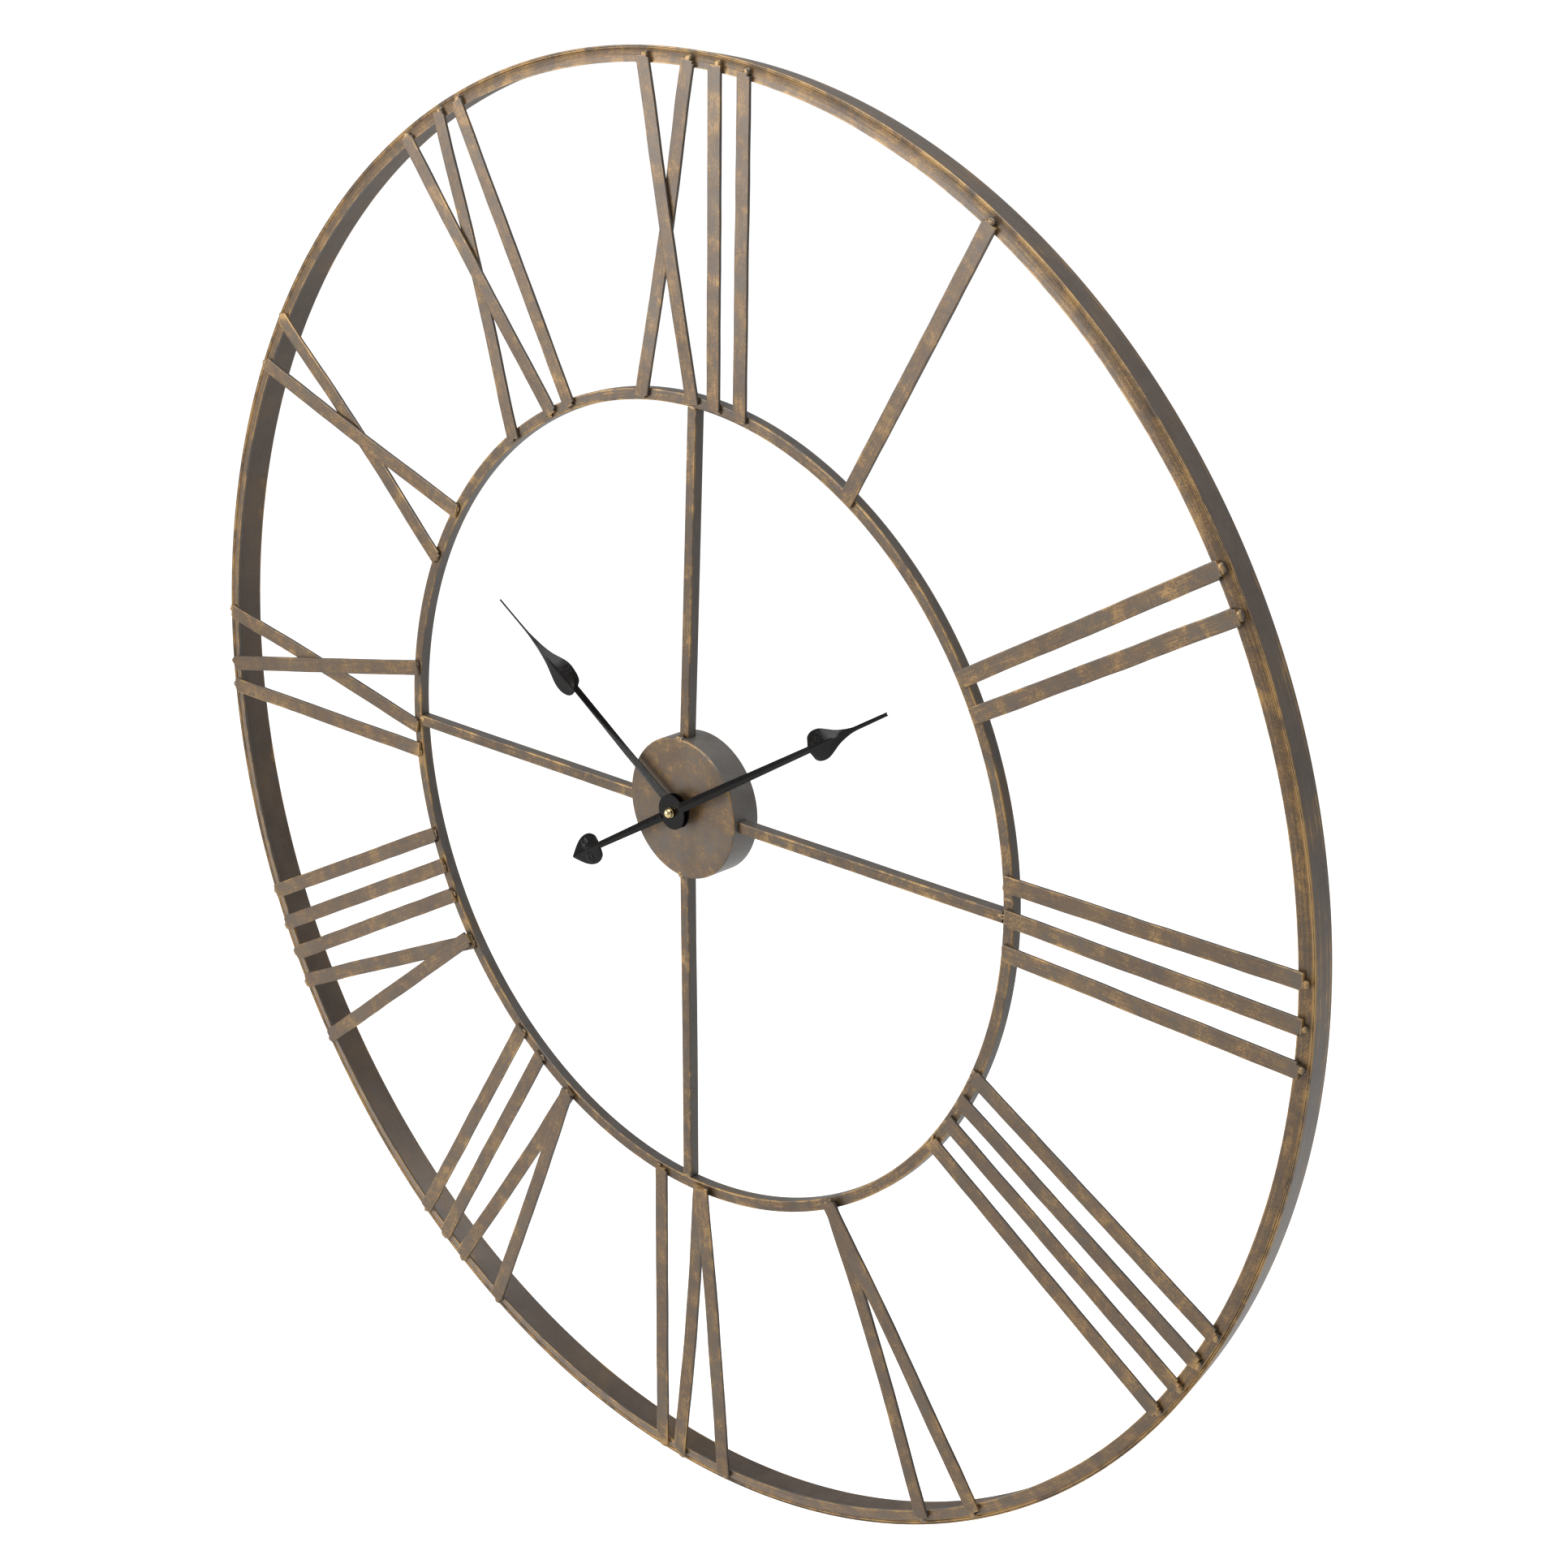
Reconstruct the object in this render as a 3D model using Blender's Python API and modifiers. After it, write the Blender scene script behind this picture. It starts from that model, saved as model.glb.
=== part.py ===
"""Skeleton wall clock, one metre across, in bronzed iron, with a quartz movement in a round hub.

Metres.  X to the right, Z up to twelve o'clock, front of the clock toward -Y, wall at +Y.
The shaft axis is the Y axis through the origin.
"""
import math

import bmesh
import bpy
from mathutils import Matrix, Vector

# ---------------------------------------------------------------- driving dimensions
GAP = 0.0003                    # clearance left between touching pieces
MERGE = 0.00002

WALL_Y = 0.0205                 # rear edge of the outer band, against the wall
FACE_Y = -0.0015                # front of the flange, the inner ring and the spokes

BAND_R = 0.4985
BAND_T = 0.0022
BAND_TAPER = 0.0045             # the hoop narrows toward the wall
BAND_LIP = 0.0006               # front edge of the band stands proud of the flange
FLANGE_IN_R = 0.4878
FLANGE_T = 0.0020
FLANGE_LEAN = 0.0025            # inner edge of the flange stands forward of its outer edge
BAR = 0.0078                    # square bar of the inner ring and the spokes
RING_IN_R = 0.2732
RING_OUT_R = RING_IN_R + BAR

STRIP_W = 0.0110                # numeral strips
STRIP_T = 0.0020
STRIP_END_R = 0.4925
STRIP_FOOT_R = 0.2758

HUB_R = 0.0485
HUB_T = 0.0015
HUB_FRONT_Y = -0.0055
HUB_BACK_Y = 0.0170
HUB_HOLE_R = 0.0043

CASE_SIDE = 0.0560              # quartz movement housing
CASE_WALL = 0.0010
CASE_FRONT_Y = HUB_FRONT_Y + HUB_T + GAP
CASE_BACK_Y = CASE_FRONT_Y + 0.0160
POCKET_FLOOR_Y = CASE_FRONT_Y + CASE_WALL
BAY_TOP_Z = -0.0129             # battery bay below this height, wheels above it
BUSH_R = 0.00395
BUSH_BORE_R = 0.0026
BUSH_TIP_Y = -0.0092
COVER_T = 0.0012

PIPE_R = 0.0023                 # hour pipe
PIPE_BORE_R = 0.0013
PIPE_TIP_Y = -0.0118
ARBOR_R = 0.0010                # minute arbor
ARBOR_TIP_Y = -0.0188

HOUR_Y = -0.0100                # rear face of the hour hand's disc
MINUTE_Y = -0.0142              # rear face of the minute hand's disc
DISC_T = 0.0010
DISC_R = 0.0120
HOUR_DEG = -57.0                # hands shown a little before ten past ten
MINUTE_DEG = 59.5
HAND_T = 0.0006

TRAIN_MODULE = 0.00035
MOTION_MODULE = 0.00040
THIRD_AXIS = (0.0063, 0.010912)
ROTOR_AXIS = (0.0182, 0.010912)
MOTION_AXIS = (-0.0080, 0.0)
KNOB_AXIS = (-0.013657, 0.005657)

# numeral strips: name, clock angle at the outer end, clock angle at the inner end, layer
# a "flat" strip is straight; of two that cross halfway, "over" bows forward and "under" backward;
# of two that share a foot, "lap" is stacked on "tuck", which dips behind it
STRIPS = [
    ("numeral_12_x_over", -2.7, 2.8, "over"),
    ("numeral_12_x_under", 2.0, -6.9, "under"),
    ("numeral_12_i_left", 4.7, 6.7, "flat"),
    ("numeral_12_i_right", 7.6, 11.6, "flat"),
    ("numeral_1_i", 31.8, 31.7, "flat"),
    ("numeral_2_i_upper", 59.8, 59.2, "flat"),
    ("numeral_2_i_lower", 63.0, 64.0, "flat"),
    ("numeral_3_i_upper", 87.3, 85.6, "flat"),
    ("numeral_3_i_middle", 90.5, 90.1, "flat"),
    ("numeral_3_i_lower", 93.6, 94.9, "flat"),
    ("numeral_4_i_first", 116.3, 114.1, "flat"),
    ("numeral_4_i_second", 119.3, 118.8, "flat"),
    ("numeral_4_i_third", 122.3, 123.1, "flat"),
    ("numeral_4_i_fourth", 125.4, 127.8, "flat"),
    ("numeral_5_v_over", 148.2, 151.6, "lap"),
    ("numeral_5_v_under", 154.0, 151.8, "tuck"),
    ("numeral_6_v_over", 176.5, 177.4, "lap"),
    ("numeral_6_v_under", 181.6, 178.3, "tuck"),
    ("numeral_6_i", 183.6, 186.1, "flat"),
    ("numeral_7_v_over", 205.2, 206.5, "lap"),
    ("numeral_7_v_under", 210.4, 206.4, "tuck"),
    ("numeral_7_i_inner", 212.9, 213.8, "flat"),
    ("numeral_7_i_outer", 215.9, 218.9, "flat"),
    ("numeral_8_v_over", 233.9, 235.0, "lap"),
    ("numeral_8_v_under", 239.4, 234.3, "tuck"),
    ("numeral_8_i_first", 242.0, 241.9, "flat"),
    ("numeral_8_i_second", 244.9, 246.6, "flat"),
    ("numeral_8_i_third", 247.9, 251.5, "flat"),
    ("numeral_9_i", 267.3, 264.7, "flat"),
    ("numeral_9_x_over", 269.3, 277.8, "over"),
    ("numeral_9_x_under", 274.2, 268.4, "under"),
    ("numeral_10_x_over", 298.9, 306.1, "over"),
    ("numeral_10_x_under", 304.0, 296.7, "under"),
    ("numeral_11_x_over", 328.5, 334.1, "over"),
    ("numeral_11_x_under", 333.2, 324.5, "under"),
    ("numeral_11_i", 335.6, 338.2, "flat"),
]

# spokes: name, clock angle at the hub, clock angle at the inner ring
SPOKES = [
    ("spoke_top", -1.4, 2.4),
    ("spoke_right", 92.7, 90.4),
    ("spoke_bottom", 183.5, 181.1),
    ("spoke_left", 266.0, 269.4),
]


# ---------------------------------------------------------------- scene and helpers
for old in list(bpy.data.objects):
    bpy.data.objects.remove(old, do_unlink=True)

scene = bpy.context.scene
parts = bpy.data.collections.new("skeleton_wall_clock")
cutters = bpy.data.collections.new("cutters")
scene.collection.children.link(parts)
scene.collection.children.link(cutters)


def material(name, rgb, metallic, roughness):
    mat = bpy.data.materials.new(name)
    mat.use_nodes = True
    node = mat.node_tree.nodes["Principled BSDF"]
    node.inputs["Base Color"].default_value = (rgb[0], rgb[1], rgb[2], 1.0)
    node.inputs["Metallic"].default_value = metallic
    node.inputs["Roughness"].default_value = roughness
    mat.diffuse_color = (rgb[0], rgb[1], rgb[2], 1.0)
    return mat


BRONZED = material("bronzed_iron", (0.17, 0.125, 0.08), 0.7, 0.5)
BLACK = material("black_gloss_metal", (0.02, 0.018, 0.016), 0.5, 0.25)
BRASS = material("brass", (0.75, 0.58, 0.28), 1.0, 0.25)
PLASTIC = material("black_plastic", (0.03, 0.03, 0.03), 0.0, 0.5)
WHEEL = material("white_plastic", (0.75, 0.75, 0.72), 0.0, 0.45)
CELL = material("battery_wrap", (0.10, 0.22, 0.35), 0.1, 0.35)
COPPER = material("copper_wire", (0.60, 0.28, 0.14), 1.0, 0.35)
MAGNET = material("rotor_steel", (0.35, 0.35, 0.37), 1.0, 0.35)


def settle(obj, name, mat, smooth=False):
    """Apply modifiers and transforms, store the piece under its name and material."""
    depsgraph = bpy.context.evaluated_depsgraph_get()
    mesh = bpy.data.meshes.new_from_object(obj.evaluated_get(depsgraph))
    mesh.transform(obj.matrix_world)
    bpy.data.objects.remove(obj, do_unlink=True)
    bm = bmesh.new()
    bm.from_mesh(mesh)
    bmesh.ops.remove_doubles(bm, verts=bm.verts, dist=MERGE)
    bmesh.ops.recalc_face_normals(bm, faces=bm.faces)
    bm.to_mesh(mesh)
    bm.free()
    mesh.name = name
    mesh.materials.clear()
    mesh.materials.append(mat)
    if smooth:
        for poly in mesh.polygons:
            poly.use_smooth = True
    piece = bpy.data.objects.new(name, mesh)
    parts.objects.link(piece)
    return piece


def wrap(bm, name):
    """A loose object around a bmesh, waiting for its modifiers."""
    mesh = bpy.data.meshes.new(name)
    bm.to_mesh(mesh)
    bm.free()
    obj = bpy.data.objects.new(name, mesh)
    scene.collection.objects.link(obj)
    return obj


def turned(name, profile, steps, closed, origin=(0.0, 0.0)):
    """Turn a profile of (radius, y) about the Y axis through origin (x, z).

    The profile runs from the front to the back along its outer side.
    """
    bm = bmesh.new()
    verts = [bm.verts.new((r, 0.0, -y)) for r, y in profile]
    for a, b in zip(verts, verts[1:]):
        bm.edges.new((a, b))
    if closed:
        bm.edges.new((verts[-1], verts[0]))
    obj = wrap(bm, name)
    screw = obj.modifiers.new("turn", "SCREW")
    screw.axis = "Z"
    screw.steps = steps
    screw.render_steps = steps
    screw.use_merge_vertices = True
    screw.merge_threshold = MERGE
    obj.matrix_world = Matrix.Translation((origin[0], 0.0, origin[1])) @ Matrix.Rotation(math.pi / 2, 4, "X")
    bpy.context.view_layer.update()
    return obj


def bake(obj):
    """Turn an object with modifiers into plain closed geometry in world space."""
    bpy.context.view_layer.update()
    depsgraph = bpy.context.evaluated_depsgraph_get()
    mesh = bpy.data.meshes.new_from_object(obj.evaluated_get(depsgraph))
    mesh.transform(obj.matrix_world)
    bm = bmesh.new()
    bm.from_mesh(mesh)
    bmesh.ops.remove_doubles(bm, verts=bm.verts, dist=MERGE)
    bmesh.ops.recalc_face_normals(bm, faces=bm.faces)
    bm.to_mesh(mesh)
    bm.free()
    out = bpy.data.objects.new(obj.name + "_body", mesh)
    scene.collection.objects.link(out)
    bpy.data.objects.remove(obj, do_unlink=True)
    return out


def combine(base, tool, operation):
    """Boolean of two baked bodies; the tool moves to the cutters collection."""
    mod = base.modifiers.new(operation.lower(), "BOOLEAN")
    mod.operation = operation
    mod.solver = "EXACT"
    mod.object = tool
    scene.collection.objects.unlink(tool)
    cutters.objects.link(tool)
    tool.hide_render = True
    tool.display_type = "WIRE"
    return base


def block(name, size, centre, bevel=0.0):
    """Rectangular block, sharp edges or a small chamfer."""
    bm = bmesh.new()
    bmesh.ops.create_cube(bm, size=1.0)
    bmesh.ops.scale(bm, vec=size, verts=bm.verts)
    obj = wrap(bm, name)
    if bevel:
        mod = obj.modifiers.new("edge", "BEVEL")
        mod.width = bevel
        mod.segments = 1
    obj.location = centre
    return obj


def cylinder(name, radius, y_front, y_back, steps, origin=(0.0, 0.0)):
    profile = [(0.0, y_front), (radius, y_front), (radius, y_back), (0.0, y_back)]
    return turned(name, profile, steps, False, origin)


def gear(name, teeth, module, y_front, y_back, origin, toward=0.0, shift_by=0.0):
    """Straight-toothed wheel with a tooth pointing toward an angle from +X, shifted by a part of a pitch."""
    phase = toward * teeth / 360.0 + shift_by
    crest = module * (teeth / 2.0 + 0.60)
    root = module * (teeth / 2.0 - 1.15)
    bm = bmesh.new()
    front = []
    for k in range(teeth):
        for radius, shift in ((root, -0.5), (crest, 0.0)):
            angle = (k + shift + phase) * 2.0 * math.pi / teeth
            x = origin[0] + radius * math.cos(angle)
            z = origin[1] + radius * math.sin(angle)
            front.append(bm.verts.new((x, y_front, z)))
    face = bm.faces.new(front)
    made = bmesh.ops.extrude_face_region(bm, geom=[face])
    moved = [v for v in made["geom"] if isinstance(v, bmesh.types.BMVert)]
    bmesh.ops.translate(bm, vec=(0.0, y_back - y_front, 0.0), verts=moved)
    bmesh.ops.recalc_face_normals(bm, faces=bm.faces)
    return wrap(bm, name)


def clock_point(radius, degrees):
    angle = math.radians(degrees)
    return Vector((radius * math.sin(angle), 0.0, radius * math.cos(angle)))


def ease(t):
    t = min(1.0, max(0.0, t))
    return t * t * (3.0 - 2.0 * t)


# ---------------------------------------------------------------- outer ring
band = turned("outer_band", [
    (BAND_R - BAND_T, FACE_Y - BAND_LIP),
    (BAND_R, FACE_Y - BAND_LIP),
    (BAND_R - BAND_TAPER, WALL_Y),
    (BAND_R - BAND_TAPER - BAND_T, WALL_Y),
], 128, True)
settle(band, "outer_band", BRONZED, True)

BAND_SLOPE = BAND_TAPER / (WALL_Y - FACE_Y + BAND_LIP)
FLANGE_OUT_R = BAND_R - BAND_T - BAND_LIP * BAND_SLOPE - 1.2 * GAP
flange = turned("outer_flange", [
    (FLANGE_IN_R, FACE_Y - FLANGE_LEAN),
    (FLANGE_OUT_R, FACE_Y),
    (FLANGE_OUT_R - FLANGE_T * BAND_SLOPE, FACE_Y + FLANGE_T),
    (FLANGE_IN_R, FACE_Y - FLANGE_LEAN + FLANGE_T),
], 128, True)
settle(flange, "outer_flange", BRONZED, True)

# ---------------------------------------------------------------- inner ring and spokes
ring = turned("inner_ring", [
    (RING_IN_R, FACE_Y),
    (RING_OUT_R, FACE_Y),
    (RING_OUT_R, FACE_Y + BAR),
    (RING_IN_R, FACE_Y + BAR),
], 96, True)
settle(ring, "inner_ring", BRONZED, True)

for name, hub_deg, ring_deg in SPOKES:
    start = clock_point(HUB_R + GAP, hub_deg)
    end = clock_point(RING_IN_R - 2.0 * GAP, ring_deg)
    along = end - start
    spoke = block(name, (BAR, BAR, along.length), (0.0, 0.0, 0.0), 0.0005)
    turn = math.atan2(along.x, along.z)
    middle = (start + end) / 2.0 + Vector((0.0, FACE_Y + BAR / 2.0, 0.0))
    spoke.matrix_world = Matrix.Translation(middle) @ Matrix.Rotation(turn, 4, "Y")
    bpy.context.view_layer.update()
    settle(spoke, name, BRONZED)

# ---------------------------------------------------------------- numeral strips
STACK = STRIP_T + GAP           # distance between two strips that cross
RISE = FLANGE_LEAN + 0.0001     # the strips climb outward onto the edge of the flange
BOW_STATIONS = 16


def bow(layer, t):
    """Shift along Y of a bent strip at t, from 0 at its foot to 1 at its tip."""
    middle = 1.0 - ease((abs(t - 0.5) - 0.13) / 0.30)
    shapes = {
        "over": -0.35 * middle,
        "under": 0.65 * middle,
        "lap": ease(t / 0.45) - 1.0,
        "tuck": ease(t / 0.36) * (1.0 - ease((t - 0.55) / 0.42)),
    }
    return STACK * shapes[layer]


for name, outer_deg, inner_deg, layer in STRIPS:
    foot = clock_point(STRIP_FOOT_R, inner_deg)
    tip = clock_point(STRIP_END_R, outer_deg)
    along = tip - foot
    length = along.length
    turn = math.atan2(along.x, along.z)
    bm = bmesh.new()
    bmesh.ops.create_cube(bm, size=1.0)
    bmesh.ops.scale(bm, vec=(STRIP_W, STRIP_T, length), verts=bm.verts)
    if layer != "flat":
        long_edges = [e for e in bm.edges if abs(e.verts[0].co.z - e.verts[1].co.z) > length / 2.0]
        bmesh.ops.subdivide_edges(bm, edges=long_edges, cuts=BOW_STATIONS, use_grid_fill=True)
        for vert in bm.verts:
            vert.co.y += bow(layer, vert.co.z / length + 0.5)
    for vert in bm.verts:
        vert.co.y -= RISE * (vert.co.z / length + 0.5)
    strip = wrap(bm, name)
    if layer == "flat":
        edge = strip.modifiers.new("edge", "BEVEL")
        edge.width = 0.0003
        edge.segments = 1
    middle = (foot + tip) / 2.0 + Vector((0.0, FACE_Y - GAP - STRIP_T / 2.0, 0.0))
    strip.matrix_world = Matrix.Translation(middle) @ Matrix.Rotation(turn, 4, "Y")
    bpy.context.view_layer.update()
    settle(strip, name, BRONZED)

# ---------------------------------------------------------------- hub and hanger
hub = turned("hub_drum", [
    (HUB_HOLE_R, HUB_FRONT_Y),
    (HUB_R - 0.0013, HUB_FRONT_Y),
    (HUB_R - 0.0004, HUB_FRONT_Y + 0.0003),
    (HUB_R, HUB_FRONT_Y + 0.0011),
    (HUB_R, HUB_BACK_Y),
    (HUB_R - HUB_T, HUB_BACK_Y),
    (HUB_R - HUB_T, HUB_FRONT_Y + HUB_T),
    (HUB_HOLE_R, HUB_FRONT_Y + HUB_T),
], 72, True)
settle(hub, "hub_drum", BRONZED, True)

# flat strap across the open back of the hub, with a keyhole for a wall hook
STRAP_Z = 0.0335
STRAP_W = 0.0120
STRAP_T = 0.0015
STRAP_Y = HUB_BACK_Y - STRAP_T / 2.0 - 0.0005
strap_half = math.sqrt((HUB_R - HUB_T - GAP) ** 2 - (STRAP_Z + STRAP_W / 2.0) ** 2) - GAP
strap = bake(block("hanger_strap", (2.0 * strap_half, STRAP_T, STRAP_W), (0.0, STRAP_Y, STRAP_Z)))
keyhole = bake(cylinder("keyhole_round", 0.0036, STRAP_Y - 0.004, STRAP_Y + 0.004, 24, (0.0, STRAP_Z - 0.0015)))
slot = bake(block("keyhole_slot", (0.0034, 0.008, 0.0060), (0.0, STRAP_Y, STRAP_Z + 0.0015)))
combine(strap, keyhole, "DIFFERENCE")
strap = bake(strap)
combine(strap, slot, "DIFFERENCE")
settle(strap, "hanger_strap", BRONZED)

# ---------------------------------------------------------------- movement housing
half = CASE_SIDE / 2.0
case = bake(block("movement_case", (CASE_SIDE, 0.0160, CASE_SIDE),
                  (0.0, (CASE_FRONT_Y + CASE_BACK_Y) / 2.0, 0.0), 0.0008))
bush = bake(cylinder("bush", BUSH_R, BUSH_TIP_Y, CASE_FRONT_Y + 0.0005, 32))
combine(case, bush, "UNION")
case = bake(case)
POCKET_LOW_Z = BAY_TOP_Z + CASE_WALL
pocket_size = (CASE_SIDE - 2.0 * CASE_WALL, 0.03, half - CASE_WALL - POCKET_LOW_Z)
pocket_mid = (0.0, POCKET_FLOOR_Y + 0.015, (half - CASE_WALL + POCKET_LOW_Z) / 2.0)
combine(case, bake(block("wheel_pocket", pocket_size, pocket_mid)), "DIFFERENCE")
case = bake(case)
bay_size = (CASE_SIDE - 2.0 * CASE_WALL, 0.03, half - CASE_WALL + BAY_TOP_Z)
bay_mid = (0.0, POCKET_FLOOR_Y + 0.015, (BAY_TOP_Z - half + CASE_WALL) / 2.0)
combine(case, bake(block("battery_bay", bay_size, bay_mid)), "DIFFERENCE")
case = bake(case)
combine(case, bake(cylinder("bush_bore", BUSH_BORE_R, -0.02, 0.0, 32)), "DIFFERENCE")
settle(case, "movement_case", PLASTIC)

cover_y = CASE_BACK_Y - COVER_T / 2.0
cover = bake(block("case_cover", (pocket_size[0] - 2.0 * GAP, COVER_T, pocket_size[2] - 2.0 * GAP),
                   (0.0, cover_y, pocket_mid[2])))
KNOB_STEM_R = 0.0016
combine(cover, bake(cylinder("knob_hole", KNOB_STEM_R + GAP, 0.0, 0.03, 24, KNOB_AXIS)), "DIFFERENCE")
settle(cover, "case_cover", PLASTIC)

# hexagon nut that clamps the hub face to the housing
NUT_FRONT_Y = -0.0083
NUT_BACK_Y = HUB_FRONT_Y - GAP
nut = bake(cylinder("mounting_nut", 0.0075, NUT_FRONT_Y, NUT_BACK_Y, 6))
combine(nut, bake(cylinder("nut_bore", BUSH_R + GAP, -0.02, 0.0, 32)), "DIFFERENCE")
settle(nut, "mounting_nut", BRASS)

# ---------------------------------------------------------------- battery and coil
BATTERY_R = 0.0069
battery_y = POCKET_FLOOR_Y + GAP + BATTERY_R
battery_z = bay_mid[2]
battery_profile = [
    (0.0, -0.0252), (0.0026, -0.0252), (0.0026, -0.0240), (BATTERY_R, -0.0238),
    (BATTERY_R, 0.0248), (0.0, 0.0248),
]
battery = turned("battery", battery_profile, 32, False)
battery.matrix_world = Matrix.Translation((0.0, battery_y, battery_z)) @ Matrix.Rotation(math.pi / 2, 4, "Y")
bpy.context.view_layer.update()
settle(battery, "battery", CELL, True)

coil_profile = [
    (0.0, -0.0105), (0.0036, -0.0105), (0.0036, -0.0095), (0.0029, -0.0093),
    (0.0029, 0.0093), (0.0036, 0.0095), (0.0036, 0.0105), (0.0, 0.0105),
]
coil = turned("coil", coil_profile, 24, False)
coil.matrix_world = Matrix.Translation((-0.0155, 0.0045, 0.0215)) @ Matrix.Rotation(math.pi / 2, 4, "Y")
bpy.context.view_layer.update()
settle(coil, "coil", COPPER, True)


# ---------------------------------------------------------------- wheels
def wheel(name, axis, bodies, mat):
    """Union of coaxial baked bodies, kept with its origin on the axis."""
    base = bodies[0]
    for extra in bodies[1:]:
        combine(base, extra, "UNION")
        base = bake(base)
    piece = settle(base, name, mat)
    piece.data.transform(Matrix.Translation((-axis[0], 0.0, -axis[1])))
    piece.location = (axis[0], 0.0, axis[1])
    return piece


BACK_PIVOT_Y = CASE_BACK_Y - COVER_T - GAP
FRONT_PIVOT_Y = POCKET_FLOOR_Y + GAP

# centre wheel, turned by the third pinion, carrying the minute hand
centre_bodies = [
    bake(gear("centre_teeth", 64, TRAIN_MODULE, 0.0010, 0.0018, (0.0, 0.0), 60.0)),
    bake(gear("cannon_teeth", 10, MOTION_MODULE, -0.0010, 0.0012, (0.0, 0.0), 180.0)),
    bake(cylinder("centre_arbor", ARBOR_R, ARBOR_TIP_Y, BACK_PIVOT_Y, 20)),
]
wheel("centre_wheel", (0.0, 0.0), centre_bodies, WHEEL)

# hour wheel with its pipe around the minute arbor
hour_teeth = bake(gear("hour_teeth", 32, MOTION_MODULE, -0.0024, -0.0014, (0.0, 0.0), 180.0, 0.5))
hour_pipe = bake(cylinder("hour_pipe", PIPE_R, PIPE_TIP_Y, -0.0014, 24))
combine(hour_teeth, hour_pipe, "UNION")
hour_teeth = bake(hour_teeth)
combine(hour_teeth, bake(cylinder("pipe_bore", PIPE_BORE_R, -0.03, 0.01, 24)), "DIFFERENCE")
wheel("hour_wheel", (0.0, 0.0), [bake(hour_teeth)], BRASS)

# motion wheel: wheel of thirty driven by the cannon pinion, pinion of eight drives the hour wheel
motion_bodies = [
    bake(gear("motion_teeth", 30, MOTION_MODULE, -0.0009, 0.0001, MOTION_AXIS, 0.0, 0.5)),
    bake(gear("motion_pinion", 8, MOTION_MODULE, -0.0023, -0.0007, MOTION_AXIS)),
    bake(cylinder("motion_arbor", 0.0007, FRONT_PIVOT_Y, 0.0006, 16, MOTION_AXIS)),
]
wheel("motion_wheel", MOTION_AXIS, motion_bodies, WHEEL)

# third wheel between the rotor and the centre wheel
third_bodies = [
    bake(gear("third_teeth", 60, TRAIN_MODULE, 0.0026, 0.0034, THIRD_AXIS)),
    bake(gear("third_pinion", 8, TRAIN_MODULE, 0.0007, 0.0028, THIRD_AXIS, 240.0, 0.5)),
    bake(cylinder("third_arbor", 0.0006, FRONT_PIVOT_Y, BACK_PIVOT_Y, 16, THIRD_AXIS)),
]
wheel("third_wheel", THIRD_AXIS, third_bodies, WHEEL)

rotor_bodies = [
    bake(gear("rotor_pinion", 8, TRAIN_MODULE, 0.0023, 0.0046, ROTOR_AXIS, 180.0, 0.5)),
    bake(cylinder("rotor_magnet", 0.0030, 0.0044, 0.0066, 24, ROTOR_AXIS)),
    bake(cylinder("rotor_arbor", 0.0005, FRONT_PIVOT_Y, BACK_PIVOT_Y, 16, ROTOR_AXIS)),
]
wheel("rotor", ROTOR_AXIS, rotor_bodies, MAGNET)

# setting knob at the back, its pinion turns the motion wheel
knob_bodies = [
    bake(gear("knob_pinion", 10, MOTION_MODULE, -0.0010, 0.0006, KNOB_AXIS, 315.0, 0.25)),
    bake(cylinder("knob_stem", KNOB_STEM_R, 0.0004, CASE_BACK_Y + 0.0010, 20, KNOB_AXIS)),
    bake(gear("knob_grip", 24, 0.00044, CASE_BACK_Y + GAP, CASE_BACK_Y + 0.0028, KNOB_AXIS)),
]
wheel("setting_knob", KNOB_AXIS, knob_bodies, PLASTIC)


# ---------------------------------------------------------------- hands
def blade(name, stations, y_back, ridge):
    """Creased sheet-metal blade along +Z: stations of (distance, half width)."""
    bm = bmesh.new()
    rows = []
    for z, w in stations:
        rise = min(ridge, 0.55 * w)
        front = y_back - HAND_T
        loop = [(-w, front), (0.0, front - rise), (w, front), (w, y_back), (0.0, y_back - rise), (-w, y_back)]
        rows.append([bm.verts.new((x, y, z)) for x, y in loop])
    for low, high in zip(rows, rows[1:]):
        for k in range(6):
            n = (k + 1) % 6
            bm.faces.new((low[k], low[n], high[n], high[k]))
    for row in (rows[0], rows[-1]):
        bm.faces.new((row[0], row[1], row[4], row[5]))
        bm.faces.new((row[1], row[2], row[3], row[4]))
    bmesh.ops.recalc_face_normals(bm, faces=bm.faces)
    return wrap(bm, name)


def spade(joint, neck, tip, stem_w, joint_w, lobe_w, tip_w):
    """Half widths of a stem that swells into a spade and ends in a needle."""
    span = neck - joint
    table = [
        (0.0090, stem_w), (joint, joint_w),
        (joint + 0.03 * span, 0.62 * lobe_w), (joint + 0.09 * span, 0.84 * lobe_w),
        (joint + 0.17 * span, 0.97 * lobe_w), (joint + 0.26 * span, lobe_w),
        (joint + 0.36 * span, 0.86 * lobe_w), (joint + 0.48 * span, 0.62 * lobe_w),
        (joint + 0.62 * span, 0.38 * lobe_w), (joint + 0.80 * span, 0.20 * lobe_w),
        (neck, 1.25 * tip_w), (tip, tip_w),
    ]
    return table


def hand(name, y_back, bore, degrees, blades):
    base = bake(cylinder(name + "_disc", DISC_R, y_back - DISC_T, y_back, 40))
    for extra in blades:
        combine(base, bake(extra), "UNION")
        base = bake(base)
    combine(base, bake(cylinder(name + "_bore", bore, -0.05, 0.05, 24)), "DIFFERENCE")
    piece = settle(base, name, BLACK)
    piece.data.transform(Matrix.Rotation(math.radians(degrees), 4, "Y"))
    return piece


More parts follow.
